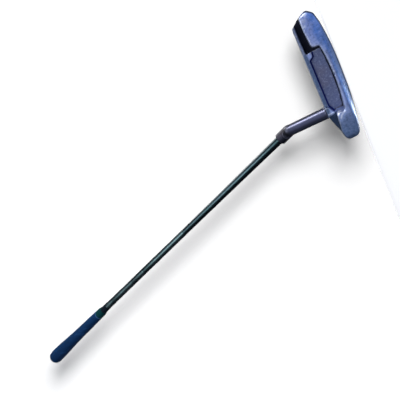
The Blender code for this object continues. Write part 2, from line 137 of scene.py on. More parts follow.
def store(mesh, masks):
    """Keeps numbers from 0 to 1 at every vertex, under names that a material reads."""
    for name, values in masks.items():
        attribute = mesh.attributes.new(name, "FLOAT", "POINT")
        attribute.data.foreach_set("value", np.clip(values, 0, 1).astype(np.float32))


def ramp(values, none, full):
    """0 at the first limit and 1 at the second, smooth in between. The second may be the lower one."""
    share = np.clip((values - none) / (full - none), 0, 1)
    return share * share * (3 - 2 * share)


def recast(node, voxel, rounds, collar=None):
    """A CAD node's shape as a dense mesh with a casting's soft corners.

    collar is a cone to cast with it: the radii of its foot and its top, its height and its matrix.
    """
    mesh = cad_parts[node].data.copy()
    welded = bmesh.new()
    welded.from_mesh(mesh)
    bmesh.ops.remove_doubles(welded, verts=welded.verts, dist=0.001 * MM)
    if collar is not None:
        low, high, depth, matrix = collar
        bmesh.ops.create_cone(welded, cap_ends=True, segments=64, radius1=low, radius2=high, depth=depth, matrix=matrix)
    welded.to_mesh(mesh)
    welded.free()
    item = link(bpy.data.objects.new("recast_" + node, mesh))
    remesh = item.modifiers.new("remesh", "REMESH")
    remesh.mode = "VOXEL"
    remesh.voxel_size = voxel
    remesh.use_smooth_shade = True
    soften = item.modifiers.new("soften", "SMOOTH")
    soften.factor = 0.5
    soften.iterations = rounds
    graph = bpy.context.evaluated_depsgraph_get()
    made = bpy.data.meshes.new_from_object(item.evaluated_get(graph))
    bpy.data.objects.remove(item)
    return made


def keep_inside(mesh, node, places):
    """Moves the vertices to these places, but none past the CAD node's own box."""
    low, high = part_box(node)
    set_coordinates(mesh, np.clip(places, np.array(low), np.array(high)))


def turned(name, profile, around, shape=None):
    """A closed profile of (radius, height) turned about the shaft's axis, and the height of each vertex.

    shape gets the radius, height and angle of every point, and gives the radius it should have.
    """
    profile = np.array(profile, float)
    angles = np.linspace(0, 2 * math.pi, around, endpoint=False)
    radius = np.repeat(profile[:, 0:1], around, axis=1)
    height = np.repeat(profile[:, 1:2], around, axis=1)
    angle = np.repeat(angles[None, :], len(profile), axis=0)
    if shape is not None:
        radius = shape(radius, height, angle)
    local = np.stack([radius * np.cos(angle), radius * np.sin(angle), height], axis=-1).reshape(-1, 3)
    matrix = np.array(SHAFT_FRAME)
    places = local @ matrix[:3, :3].T + matrix[:3, 3]
    rows, faces = len(profile), []
    for row in range(rows):
        here, after = row * around, (row + 1) % rows * around
        for step in range(around):
            beside = (step + 1) % around
            faces.append((here + step, here + beside, after + beside, after + step))
    mesh = bpy.data.meshes.new(name)
    mesh.from_pydata(places.tolist(), [], faces)
    skin = bmesh.new()
    skin.from_mesh(mesh)
    bmesh.ops.recalc_face_normals(skin, faces=skin.faces)
    skin.to_mesh(mesh)
    skin.free()
    mesh.shade_smooth()
    mesh.set_sharp_from_angle(angle=math.radians(40))
    return mesh, height.ravel()


def line_distance(points, line):
    """Distance from each (x, z) point to a line through several places."""
    best = np.full(len(points), np.inf)
    for start, end in zip(line, line[1:]):
        start, run = np.array(start), np.array(end) - np.array(start)
        share = np.clip((points - start) @ run / (run @ run), 0, 1)
        best = np.minimum(best, np.linalg.norm(points - start - share[:, None] * run, axis=1))
    return best


def around_each(mesh, values):
    """The mean of each vertex's neighbours, for a value or a place at every vertex."""
    ends = np.zeros(len(mesh.edges) * 2, np.int32)
    mesh.edges.foreach_get("vertices", ends)
    here, there = ends.reshape(-1, 2).T
    here, there = np.concatenate([here, there]), np.concatenate([there, here])
    count = np.maximum(np.bincount(here, minlength=len(values)), 1)
    columns = values.reshape(len(values), -1).T
    means = [np.bincount(here, column[there], minlength=len(values)) / count for column in columns]
    return np.stack(means, 1).reshape(values.shape)


def convexity(mesh, places):
    """How far each vertex stands proud of its neighbours: above 0 on an edge, below 0 in a hollow."""
    proud = np.einsum("ij,ij->i", places - around_each(mesh, places), vertex_normals(mesh))
    return around_each(mesh, around_each(mesh, proud))


def round_over(mesh, places, share, rounds):
    """Rounds the corners where share is above 0."""
    for _ in range(rounds):
        places = places + 0.5 * share[:, None] * (around_each(mesh, places) - places)
    return places


# Materials


class Nodes:
    """A material's node tree, with short ways to add the nodes used here."""

    def __init__(self, name):
        self.material = bpy.data.materials.new(name)
        self.material.use_nodes = True
        self.tree = self.material.node_tree
        self.shader = self.tree.nodes["Principled BSDF"]
        self.place = self.add("ShaderNodeTexCoord").outputs["Object"]

    def add(self, kind, **settings):
        node = self.tree.nodes.new(kind)
        for name, value in settings.items():
            setattr(node, name, value)
        return node

    def feed(self, node, socket, value):
        if isinstance(value, bpy.types.NodeSocket):
            self.tree.links.new(value, node.inputs[socket])
        else:
            node.inputs[socket].default_value = value

    def stored(self, name):
        return self.add("ShaderNodeAttribute", attribute_name=name).outputs["Fac"]

    def noise(self, scale, detail=3.0, roughness=0.55, place=None):
        node = self.add("ShaderNodeTexNoise")
        node.inputs["Scale"].default_value = scale
        node.inputs["Detail"].default_value = detail
        node.inputs["Roughness"].default_value = roughness
        self.tree.links.new(place or self.place, node.inputs["Vector"])
        return node.outputs["Fac"]

    def streaks(self, scales, detail):
        """Noise with a scale for each axis. It is drawn out along the axis with the lowest one."""
        mapping = self.add("ShaderNodeMapping")
        mapping.inputs["Scale"].default_value = scales
        mapping.inputs["Rotation"].default_value = (0, SHAFT_LEAN, 0)
        self.tree.links.new(self.place, mapping.inputs["Vector"])
        return self.noise(1, detail, 0.6, mapping.outputs["Vector"])

    def spread(self, value, low, high, to_low=0.0, to_high=1.0):
        node = self.add("ShaderNodeMapRange", clamp=True)
        self.feed(node, "Value", value)
        for socket, number in (("From Min", low), ("From Max", high), ("To Min", to_low), ("To Max", to_high)):
            node.inputs[socket].default_value = number
        return node.outputs["Result"]

    def mix(self, share, low, high):
        node = self.add("ShaderNodeMix", data_type="RGBA")
        self.feed(node, "Factor", share)
        for socket, value in (("A", low), ("B", high)):
            target = next(s for s in node.inputs if s.name == socket and s.type == "RGBA")
            if isinstance(value, bpy.types.NodeSocket):
                self.tree.links.new(value, target)
            else:
                target.default_value = (*value, 1)
        return next(s for s in node.outputs if s.type == "RGBA")

    def coats(self, colour, *coats):
        """Lays coats over a colour, each a share and its own colour. A share by name is a stored one."""
        for share, coat in coats:
            colour = self.mix(self.stored(share) if isinstance(share, str) else share, colour, coat)
        return colour

    def math(self, operation, first, second):
        node = self.add("ShaderNodeMath", operation=operation)
        self.feed(node, 0, first)
        self.feed(node, 1, second)
        return node.outputs[0]

    def bump(self, height, strength, distance):
        node = self.add("ShaderNodeBump")
        node.inputs["Strength"].default_value = strength
        node.inputs["Distance"].default_value = distance
        self.tree.links.new(height, node.inputs["Height"])
        self.tree.links.new(node.outputs["Normal"], self.shader.inputs["Normal"])

    def finish(self, colour, roughness, metallic, specular=0.5):
        self.feed(self.shader, "Base Color", colour)
        self.feed(self.shader, "Roughness", roughness)
        self.feed(self.shader, "Metallic", metallic)
        self.shader.inputs["Specular IOR Level"].default_value = specular
        return self.material


def head_material():
    """Satin blue-grey metal, greyer cast cavity, painted shade, reflections and highlights, edges lighter with wear."""
    n = Nodes("satin_blue_metal")
    broad = n.noise(70, 4, 0.6)
    cast = n.noise(430, 5, 0.75)
    specks = n.noise(800, 2, 0.5)
    # bluer towards the lower edges: a painted reflection
    satin = n.mix(n.stored("lower_edge_reflection"), (0.4, 0.48, 0.76), (0.28, 0.46, 0.85))
    # bluer patches low on the toe weight: a painted reflection
    reflection_patches = n.math("MULTIPLY", n.stored("toe_blue_reflection"), n.spread(n.noise(110, 3), 0.35, 0.6, 0.35, 1))
    cavity = n.mix(n.spread(n.noise(28, 2), 0.4, 0.62), (0.19, 0.21, 0.31), (0.215, 0.19, 0.235))
    # bright specks at the toe: painted glints
    toe_glints = n.math("MULTIPLY", n.spread(specks, 0.54, 0.64), n.spread(n.stored("toe_sky_reflection"), 0.3, 1, 0, 0.9))
    # a paler band beside the toe's rim: a painted sheen
    rim_sheen = n.math("MULTIPLY", n.stored("rim_sheen"), n.spread(cast, 0.35, 0.6, 0.75, 0.15))
    # lighter along convex edges: wear, and a painted highlight
    edge = n.math("MULTIPLY", n.stored("edge"), n.spread(broad, 0.3, 0.6, 0.15, 0.6))
    # bright spots and lines: painted highlights
    painted_highlights = n.math("MULTIPLY", n.stored("painted_highlights"), n.spread(cast, 0.4, 0.55, 1, 0.55))
    colour = n.coats(
        satin,
        # painted reflection of the sky on the toe weight
        ("toe_sky_reflection", (0.25, 0.34, 0.64)),
        (reflection_patches, (0.12, 0.29, 0.72)),
        ("heel_shade", (0.24, 0.36, 0.6)),
        ("top_strip", (0.12, 0.17, 0.265)),
        ("cavity", cavity),
        (n.spread(broad, 0.42, 0.66, 0, 0.35), (0.24, 0.26, 0.36)),
        (n.spread(cast, 0.5, 0.66, 0, 0.6), (0.1, 0.13, 0.22)),
        (n.spread(cast, 0.34, 0.46, 0.4, 0), (0.6, 0.68, 0.88)),
        (toe_glints, (0.75, 0.88, 1.0)),
        (rim_sheen, (0.6, 0.6, 0.66)),
        (edge, (0.4, 0.42, 0.46)),
        # painted shade darkens the toe's rim, toning down its highlight
        (n.spread(n.stored("toe_rim"), 0, 1, 0, 0.8), (0.12, 0.125, 0.13)),
        # painted shade in the creases
        (n.spread(n.stored("painted_crease_shade"), 0, 1, 0, 0.8), (0.02, 0.024, 0.05)),
        # painted sheen along the sole's edge, strongest towards the heel
        ("sole_sheen", (0.62, 0.74, 0.95)),
        # painted shade: dark blue in the heel's notch
        ("heel_notch_shade", (0.035, 0.055, 0.095)),
        (painted_highlights, (0.95, 0.96, 1.0)),
        # painted shade: a dark blue line under the bar
        ("under_bar_shade", (0.003, 0.01, 0.11)),
        # painted shade: near black in the toe's notch and the crease
        ("notch_and_crease_shade", (0.004, 0.005, 0.011)),
    )
    rough = n.math("ADD", broad, n.math("ADD", n.stored("cavity"), n.math("MULTIPLY", n.stored("notch_and_crease_shade"), 2)))
    rough = n.spread(rough, 0.3, 2.2, 0.33, 0.85)
    rough = n.math("SUBTRACT", rough, n.math("MULTIPLY", n.stored("sole_sheen"), 0.2))
    metal = n.spread(n.math("ADD", n.stored("notch_and_crease_shade"), n.stored("under_bar_shade")), 0.1, 0.6, 0.85, 0.0)
    n.bump(n.math("ADD", cast, n.math("MULTIPLY", broad, 3)), 0.6, 0.2 * MM)
    return n.finish(colour, rough, metal, 0.2)


def neck_material():
    """Grey-violet metal, brown-grey at the socket, with painted shade behind the post and in the creases."""
    n = Nodes("satin_grey_metal")
    broad = n.noise(60, 3)
    fine = n.noise(900, 4, 0.65)
    satin = n.mix(n.stored("dome"), (0.15, 0.155, 0.215), (0.05, 0.048, 0.055))
    # lighter along convex edges: wear, and a painted highlight
    edge = n.math("MULTIPLY", n.stored("edge"), n.spread(fine, 0.3, 0.6, 0.2, 0.7))
    colour = n.coats(
        satin,
        # brown-grey at the socket, and painted shade behind the post
        ("socket", (0.026, 0.023, 0.028)),
        (n.spread(broad, 0.4, 0.7, 0, 0.5), (0.06, 0.065, 0.09)),
        (n.spread(fine, 0.55, 0.8, 0, 0.3), (0.06, 0.06, 0.09)),
        (edge, (0.4, 0.4, 0.46)),
        # painted shade in the creases
        (n.spread(n.stored("painted_crease_shade"), 0, 1, 0, 0.85), (0.012, 0.012, 0.018)),
    )
    rough = n.spread(n.math("ADD", broad, n.stored("socket")), 0.3, 1.7, 0.3, 0.5)
    n.bump(fine, 0.2, 0.1 * MM)
    return n.finish(colour, rough, 0.85, 0.35)


def shaft_material():
    """Dark plating with a green cast, fine drawn-out polish and a little grime."""
    n = Nodes("dark_plating")
    lines = n.streaks((900, 900, 14), 4)
    cloud = n.noise(35, 3)
    colour = n.coats(
        n.mix(n.spread(cloud, 0.35, 0.7), (0.02, 0.03, 0.034), (0.011, 0.027, 0.027)),
        (n.spread(lines, 0.5, 0.75, 0, 0.4), (0.045, 0.06, 0.063)),
        ("step", (0.07, 0.1, 0.1)),
    )
    n.bump(lines, 0.08, 0.04 * MM)
    return n.finish(colour, n.spread(lines, 0.3, 0.7, 0.2, 0.36), 0.92)


def band_material():
    """Black tape with fine cross-marks."""
    n = Nodes("black_band")
    wrap = n.streaks((500, 500, 2600), 3)
    colour = n.mix(n.spread(wrap, 0.35, 0.7), (0.002, 0.005, 0.008), (0.008, 0.014, 0.022))
    n.bump(wrap, 0.4, 0.15 * MM)
    return n.finish(colour, n.spread(wrap, 0.3, 0.7, 0.5, 0.75), 0.0, 0.06)


def grip_material():
    """Navy rubber with a green-tinted collar, fine pores and paler streaks of wear."""
    n = Nodes("navy_rubber")
    rubs = n.streaks((260, 260, 22), 4)
    pores = n.noise(1500, 3, 0.6)
    colour = n.coats(
        n.mix(n.spread(rubs, 0.35, 0.7), (0.001, 0.022, 0.06), (0.005, 0.036, 0.11)),
        (n.spread(rubs, 0.55, 0.75, 0, 0.6), (0.02, 0.08, 0.17)),
        (n.spread(pores, 0.5, 0.75, 0, 0.5), (0.0006, 0.006, 0.02)),
        ("collar", (0.001, 0.037, 0.036)),
        ("ring", (0.06, 0.15, 0.28)),
    )
    n.bump(n.math("ADD", n.math("MULTIPLY", pores, 0.6), rubs), 0.35, 0.2 * MM)
    return n.finish(colour, n.spread(rubs, 0.3, 0.7, 0.55, 0.75), 0.0, 0.07)


def grained_material(name, dark, light, scale, roughness, height):
    """For what is hidden inside: adhesive, cork and paper tape."""
    n = Nodes(name)
    grain = n.noise(scale, 5, 0.65)
    n.bump(grain, 0.4, height)
    return n.finish(n.mix(n.spread(grain, 0.3, 0.7), dark, light), n.spread(grain, 0.3, 0.7, roughness, 0.95), 0.0)


# Pieces


def flange_height(x):
    """Top of the cambered flange at x, both in millimetres."""
    middle, camber_radius, half_length = 7.7, 225, 40
    return middle + camber_radius - np.sqrt(camber_radius**2 - np.clip(x, -half_length, half_length) ** 2)


def add_dents(places):
    """Presses small dents into the flange's edge. Their x, y, depth and size are in millimetres."""
    dents = ((9.5, -12, 0.5, 1.0), (6.2, -12, 0.4, 0.8), (2.6, -11.8, 0.7, 1.1), (-14, -12, 0.25, 0.8))
    for x, y, depth, size in dents:
        centre = np.array([x, y, flange_height(x)]) * MM
        reach = np.exp(-((np.linalg.norm(places - centre, axis=1) / (size * MM)) ** 2))
        places[:, 2] -= depth * MM * reach
        places[:, 1] += 0.5 * depth * MM * reach


def highlight_marks(x, y, z):
    """Painted highlights: spots at the toe and on the flange's edge, lines at the heel weight's inner corner."""
    marks = np.zeros(len(x))
    spots = ((54.0, 14.0, 2.0), (49.8, 14.8, 1.3), (57.6, 11.8, 1.2), (11.2, 7.0, 1.0), (5.4, 6.4, 0.7))
    for spot_x, spot_z, size in spots:
        away = np.hypot(x - spot_x, z - spot_z)
        marks = np.maximum(marks, 0.8 * np.exp(-((away / size) ** 2)) * (y < -7))
    line_width = 0.6
    lines = (
        ([(-33, 16.4), (-31.4, 15), (-30.8, 12.8)], -4),
        ([(-37, 15), (-34.4, 13.6), (-33, 11.8), (-32.2, 9.6)], -9),
        ([(-33.2, 24.4), (-32.6, 19)], 4),
    )
    for line, highest_y in lines:
        away = line_distance(np.stack([x, z], 1), line)
        marks = np.maximum(marks, np.exp(-((away / line_width) ** 2)) * (y < highest_y))
    return marks


def head_masks(mesh, places):
    """Where the head's material changes. Every limit here is in millimetres."""
    cavity_toe, cavity_heel, bar_underside = 26.9, -31.4, 22.2
    x, y, z = places.T / MM
    faces_back = ramp(vertex_normals(mesh)[:, 1], 0.25, -0.1)
    past_cavity = ramp(x, cavity_toe - 0.2, cavity_toe + 0.2)
    # painted shade fills the toe's notch
    notch = past_cavity * ramp(y, 5.3, 5.7) * ramp(z, 7.2, 7.6) * ramp(z, 23.6, 23.2) * faces_back
    # painted shade in the heel's notch
    heel_notch = ramp(x, -34.3, -34.7) * ramp(y, 5.4, 6) * ramp(z, 25.4, 25) * faces_back
    cavity = ramp(x, cavity_heel - 2.5, cavity_heel - 1.5) * (1 - past_cavity)
    cavity = cavity * ramp(y, 5.3, 5.8) * ramp(z, 23, 22.6) * faces_back

    # painted shade in the crease where the cavity meets the flange, and in a dark blue line under the bar
    wobble = 0.25 * np.sin(x / 1.7) * np.sin(x / 4.3 + 1)
    crease_depth = 0.95 - 0.35 * ramp(x, 5, -15)
    crease = cavity * (1 - ramp((z - flange_height(x) + wobble) / crease_depth, 1, 1.6))
    # painted shade: a line under the bar's edge
    under_bar = [(cavity_toe, 18.2), (22.8, 18.6), (20.4, bar_underside), (-26, bar_underside), (-33.6, 18.4)]
    under_bar_shade = cavity * (1 - ramp(line_distance(np.stack([x, z], 1), under_bar), 1.2, 1.6))

    # painted reflection along the lower edges below the flange, and a painted sheen along the sole's edge
    past_flange = ramp(x, 20, 34)
    lower_edge_reflection = ramp(z, 5.6 + 4 * past_flange, 4.4) * ramp(y, 0, -5)
    sole_sheen = ramp(z, 3.4 + 0.5 * ramp(x, 0, -40), 2.4) * ramp(y, -5, -7)
    sole_sheen = sole_sheen * (0.45 + 0.5 * ramp(x, -5, -25))

    # edges, lighter with wear and as a painted highlight; painted shade on the toe's rim, and a painted sheen beside it
    proud = convexity(mesh, places) / MM
    edge = ramp(proud, 0.008, 0.02) * (1 - notch) * (1 - heel_notch)
    # the toe's rim, darkened as painted shade
    toe_rim = edge * ramp(x, 27, 30) * ramp(z, 7, 10)
    beside_rim = toe_rim
    for _ in range(12):
        beside_rim = around_each(mesh, beside_rim)

    return {
        "notch_and_crease_shade": np.maximum(notch, crease),
        "heel_notch_shade": heel_notch * (0.75 + 0.25 * ramp(x, -35.5, -39)),
        "under_bar_shade": under_bar_shade,
        "cavity": cavity,
        "lower_edge_reflection": lower_edge_reflection,
        "sole_sheen": sole_sheen,
        "toe_sky_reflection": ramp(x, 34, 58) * ramp(y, -6, -12) * ramp(z, 8, 15),
        "toe_blue_reflection": ramp(x, 26, 38) * ramp(y, -6, -10) * ramp(z, 12.5, 8) * ramp(z, 3, 6),
        "heel_shade": ramp(x, -18, -56),
        "top_strip": ramp(z, 21.5, 23),
        "edge": edge * (1 - toe_rim),
        "toe_rim": toe_rim,
        "rim_sheen": 4 * beside_rim * (1 - notch) * (1 - toe_rim),
        "painted_highlights": highlight_marks(x, y, z) * faces_back * (1 - notch),
        "painted_crease_shade": ramp(proud, -0.006, -0.03),
    }


def make_head():
    mesh = recast("putter_head", HEAD_VOXEL, 4)
    places = coordinates(mesh)
    places = round_over(mesh, places, ramp(places[:, 1], 3 * MM, -3 * MM), 18)
    places = round_over(mesh, places, ramp(places[:, 0], 50 * MM, 57 * MM), 30)
    add_dents(places)
    keep_inside(mesh, "putter_head", places)
    store(mesh, head_masks(mesh, coordinates(mesh)))
    return add_piece("cast_head", mesh, head_material(), "putter_head")


def make_neck():
    # a low weld bead closes the post's foot on the head
    outline = Matrix.Diagonal((1, POST_DEPTH / POST_WIDTH, 1, 1))
    bead = Matrix.Translation(POST_FOOT + Vector((0, 0, BEAD_CENTRE))) @ Matrix.Rotation(-POST_LEAN, 4, "Y") @ outline
    mesh = recast("offset_neck", NECK_VOXEL, 4, (BEAD_FOOT_RADIUS, BEAD_TOP_RADIUS, BEAD_HEIGHT, bead))
    places = coordinates(mesh)
    on_shaft = np.hstack([places, np.ones((len(places), 1))]) @ np.array(SHAFT_FRAME.inverted()).T / MM
    off_axis = np.hypot(on_shaft[:, 0], on_shaft[:, 1])
    on_socket = ramp(off_axis, 7.6, 6.9) * ramp(on_shaft[:, 2], -22, -19)
    _, y, z = places.T / MM
    # painted shade behind the post, where it meets the socket
    behind_post = ramp(y, 9.5, 11.5) * ramp(z, 50, 54)
    proud = convexity(mesh, places) / MM
    masks = {
        "socket": np.maximum(on_socket, behind_post),
        "dome": ramp(z, 60, 69),
        "edge": ramp(proud, 0.01, 0.04),
        "painted_crease_shade": ramp(proud, -0.005, -0.02),
    }
    store(mesh, masks)
    return add_piece("neck_and_socket", mesh, neck_material(), "offset_neck")


def shaft_radius(height):
    """Outer radius of the stepped tube. It rounds as in the CAD, where three of the steps come out without a rise."""
    steps = min(max(math.floor((height - SHAFT_FIRST_STEP) / SHAFT_STEP_PITCH) + 1, 0), SHAFT_STEPS)
    return SHAFT_TIP_RADIUS + (SHAFT_BUTT_RADIUS - SHAFT_TIP_RADIUS) * steps / SHAFT_STEPS


def make_shaft():
    tip = -SOCKET_DEPTH + JOIN_GAP
    tip_bore = SHAFT_TIP_RADIUS - SHAFT_WALL
    outside = [(SHAFT_TIP_RADIUS - SHAFT_CHAMFER, tip), (SHAFT_TIP_RADIUS, tip + SHAFT_CHAMFER)]
    for step in range(SHAFT_STEPS):
        height = SHAFT_FIRST_STEP + SHAFT_STEP_PITCH * step
        low, high = shaft_radius(height - SHAFT_STEP_RAMP), shaft_radius(height)
        for share in (0, 0.25, 0.5, 0.75, 1):
            outside.append((low + (high - low) * ramp(share, 0, 1), height + (share - 1) * SHAFT_STEP_RAMP))
    end_radius = outside[-1][0]
    outside.append((end_radius, SHAFT_END))
    inside = [(end_radius - SHAFT_WALL, SHAFT_END), (tip_bore, SHAFT_FIRST_STEP), (tip_bore, tip)]
    mesh, heights = turned("stepped_shaft", outside + inside, 96)
    past_step = np.mod(heights - SHAFT_FIRST_STEP + SHAFT_STEP_RAMP, SHAFT_STEP_PITCH)
    on_step = (heights > SHAFT_FIRST_STEP - 2 * MM) & (past_step < SHAFT_STEP_RAMP + 0.1 * MM)
    store(mesh, {"step": on_step * 0.8})
    return add_piece("stepped_shaft", mesh, shaft_material(), "shaft")


def make_band():
    high = GRIP_START - JOIN_GAP
    low = high - BAND_LENGTH
    inner = shaft_radius(high) + FIT_GAP
    skin = inner + BAND_WALL - TAPE_OVERLAP
    edge, corner, rows = inner + 0.12 * MM, 0.15 * MM, 46
    outside = [(edge, low)]
    for row in range(rows + 1):
        outside.append((skin, low + corner + (high - low - 2 * corner) * row / rows))
    outside.append((edge, high))

    def wrapped(radius, height, angle):
        """The overlap of each turn of tape stands a little proud."""
        turn = np.mod((height - low) / (high - low) * BAND_TURNS - angle / (2 * math.pi), 1)
        return radius + np.where(radius > inner + 0.2 * MM, TAPE_OVERLAP * ramp(turn, 0.72, 0.76), 0)

    mesh, _ = turned("tape_band", outside + [(inner, high), (inner, low)], 96, shape=wrapped)
    return add_piece("tape_band", mesh, band_material(), "grip_end_band")


def grip_radius(share):
    """Outer radius of the round grip, from its mouth at 0 to its butt at 1: a taper and a swell."""
    return 8.4 * MM + 5.2 * MM * share + 1.8 * MM * float(ramp(share, 0.5, 0.9))


def make_grip():
    lip_share, butt_share = GRIP_LIP_LENGTH / GRIP_LENGTH, 1 - GRIP_BUTT_ROUND / GRIP_LENGTH
    butt_radius = grip_radius(butt_share) * GRIP_TRIM
    butt = MOUTH_TO_BUTT - BUTT_TRIM
    step_rise = (SHAFT_BUTT_RADIUS - SHAFT_TIP_RADIUS) / SHAFT_STEPS
    tape_room = FIT_GAP + TAPE_WALL + FIT_GAP
    steps_below = 8.2  # the shaft's eighth step is just below the grip's mouth
    bore_low = SHAFT_TIP_RADIUS + steps_below * step_rise + tape_room
    bore_high = SHAFT_BUTT_RADIUS + tape_room

    lip_round = 0.4 * MM
    outside = [
        (bore_low, GRIP_START),
        (GRIP_LIP_RADIUS - lip_round, GRIP_START),
        (GRIP_LIP_RADIUS, GRIP_START + lip_round),
    ]
    rows, butt_rows = 220, 16
    for row in range(1, rows + 1):
        share = lip_share + (butt_share - lip_share) * row / rows
        outside.append((grip_radius(share) * GRIP_TRIM, GRIP_START + GRIP_LENGTH * share))
    for row in range(1, butt_rows + 1):
        turn = math.pi / 2 * row / butt_rows
        inwards, short = GRIP_BUTT_ROUND * (1 - math.cos(turn)), GRIP_BUTT_ROUND * (1 - math.sin(turn))
        outside.append((butt_radius - inwards, butt - short))
    inside = [
        (GRIP_VENT_RADIUS + 0.5 * MM, butt),
        (GRIP_VENT_RADIUS, MOUTH_TO_BUTT - 0.4 * MM),
        (GRIP_VENT_RADIUS, MOUTH_TO_BUTT - GRIP_CAP),
        (bore_high, MOUTH_TO_BUTT - GRIP_CAP),
        (bore_low, GRIP_START + GRIP_SEAL),
    ]
    lip_end = GRIP_START + GRIP_LIP_LENGTH
    flat_low, flat_high = grip_radius(lip_share) * GRIP_FLAT_AT_MOUTH, butt_radius * GRIP_FLAT_AT_BUTT
    collar_end = GRIP_START + GRIP_COLLAR_LENGTH

    def moulded(radius, height, angle):
        """The flat front, the waist at the collar's end, and shallow moulded lines over the hands' part."""
        share = (height - GRIP_START) / GRIP_LENGTH
        skin = radius > bore_high + 0.2 * MM
        skin |= (height < GRIP_START + 60 * MM) & (radius > bore_low + 0.3 * MM)
        waist = 0.35 * MM * np.exp(-(((height - collar_end + 1.2 * MM) / (0.8 * MM)) ** 2))
        lined = ramp(share, 0.085, 0.1) * ramp(share, 0.955, 0.94) * ramp(np.abs(np.sin(angle / 2)), 0.45, 0.6)
        lines = 0.09 * MM * lined * (0.5 - 0.5 * np.cos(2 * math.pi * height / (2.4 * MM)))
        made = radius - np.where(skin, waist + lines, 0)
        flat = flat_low + (flat_high - flat_low) * (height - lip_end) / (MOUTH_TO_BUTT - lip_end)
        ahead = np.cos(angle)
        least_ahead = 0.05  # further round than this, the flat is out of reach
        cut = (ahead > least_ahead) & skin & (share > 0.03)
        return np.minimum(made, np.where(cut, (flat - FLAT_TRIM) / np.maximum(ahead, least_ahead), np.inf))

    mesh, heights = turned("putter_grip", outside + inside, 128, shape=moulded)
    masks = {
        "collar": 1 - ramp(heights, collar_end - 1 * MM, collar_end),
        "ring": 0.8 * np.exp(-(((heights - collar_end - 0.8 * MM) / (1.1 * MM)) ** 2)),
    }
    store(mesh, masks)
    return add_piece("putter_grip", mesh, grip_material(), "grip")


def carry_over(node, material):
    """Keeps a CAD node as it is, in a material of its own."""
    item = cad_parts[node]
    item.data.materials.clear()
    item.data.materials.append(material)
    return item


head, neck, shaft, band, grip = make_head(), make_neck(), make_shaft(), make_band(), make_grip()
epoxy = grained_material("cured_epoxy", (0.4, 0.34, 0.22), (0.62, 0.56, 0.42), 900, 0.35, 0.05 * MM)
cork = grained_material("plug_cork", (0.2, 0.11, 0.05), (0.52, 0.34, 0.19), 700, 0.8, 0.3 * MM)
paper_tape = grained_material("tape_paper", (0.55, 0.5, 0.4), (0.78, 0.74, 0.63), 500, 0.75, 0.05 * MM)
hidden = [
    carry_over("epoxy_bond", epoxy),
    carry_over("tip_plug", cork),
    carry_over("grip_tape", paper_tape),
]
club = [head, neck, shaft, band, grip, *hidden]


# Camera

camera_data = bpy.data.cameras.new("camera")
camera_data.sensor_width = 36
camera_data.lens = 29.346
camera_data.clip_start, camera_data.clip_end = 0.01, 30
camera = link(bpy.data.objects.new("camera", camera_data))
right = Vector((-0.496, 0.2814, -0.8214)).normalized()
ahead = Vector((-0.3128, 0.8246, 0.4714))
ahead = (ahead - right * ahead.dot(right)).normalized()
up = right.cross(ahead)
camera_turn = Matrix((right, up, -ahead)).transposed().to_4x4()
camera.matrix_world = Matrix.Translation((61.2 * MM, -335.4 * MM, 4.4 * MM)) @ camera_turn
bpy.context.scene.camera = camera
bpy.context.scene.view_settings.view_transform = "Standard"


# Stage

SHEET_SIZE = 12
PAPER_GLOW = 0.1  # how bright the backdrop is in the club's full shadow
PAPER_PAINT = 0.03
FLOOR_GLOW, FLOOR_PAINT = 0.56, 0.45
FLOOR_Z = -0.3 * MM
LAMP_RISE = 152 * MM  # from the camera up to the paper's lamps
PAPER_RECEDE = 0.3  # per metre: how much less the paper's inverse depth is than the club's


def plain_surface(name, glow, paint):
    """Pale paper for the stage: a paint that takes shadows over an even glow."""
    material = bpy.data.materials.new(name)
    material.use_nodes = True
    tree = material.node_tree
    tree.nodes.clear()
    diffuse, emission, both, out = (
        tree.nodes.new("ShaderNode" + kind) for kind in ("BsdfDiffuse", "Emission", "AddShader", "OutputMaterial")
    )
    diffuse.inputs["Color"].default_value = (paint, paint, paint, 1)
    emission.inputs["Color"].default_value = (1, 1, 1, 1)
    emission.inputs["Strength"].default_value = glow
    tree.links.new(diffuse.outputs[0], both.inputs[0])
    tree.links.new(emission.outputs[0], both.inputs[1])
    tree.links.new(both.outputs[0], out.inputs["Surface"])
    return material


def backdrop_surface(lamp_place, lamp_height):
    """Paper that is clear from behind. Its paint makes up for how obliquely the lamp's light falls on it."""
    material = plain_surface("backdrop_paper", PAPER_GLOW, PAPER_PAINT)
    tree = material.node_tree
    diffuse, both, out = (tree.nodes[name] for name in ("Diffuse BSDF", "Add Shader", "Material Output"))
    place, away, paint, clear, choice = (
        tree.nodes.new("ShaderNode" + kind)
        for kind in ("NewGeometry", "VectorMath", "Math", "BsdfTransparent", "MixShader")
    )
    away.operation, paint.operation = "DISTANCE", "MULTIPLY"
    away.inputs[0].default_value = lamp_place
    tree.links.new(place.outputs["Position"], away.inputs[1])
    tree.links.new(away.outputs["Value"], paint.inputs[0])
    paint.inputs[1].default_value = PAPER_PAINT / lamp_height
    tree.links.new(paint.outputs[0], diffuse.inputs["Color"])
    tree.links.new(place.outputs["Backfacing"], choice.inputs[0])
    tree.links.new(both.outputs[0], choice.inputs[1])
    tree.links.new(clear.outputs[0], choice.inputs[2])
    tree.links.new(choice.outputs[0], out.inputs["Surface"])
    return material


def sheet(name, centre, normal, material):
    """A large square of the stage, which neither shows in the club's metal nor throws light on the club."""
    mesh = bpy.data.meshes.new(name)
    half = SHEET_SIZE / 2
    mesh.from_pydata([(-half, -half, 0), (half, -half, 0), (half, half, 0), (-half, half, 0)], [], [(0, 1, 2, 3)])
    mesh.materials.append(material)
    item = link(bpy.data.objects.new(name, mesh))
    item.matrix_world = Matrix.Translation(centre) @ Vector(normal).to_track_quat("Z", "Y").to_matrix().to_4x4()
    item.visible_glossy = False
    item.visible_diffuse = False
    return item


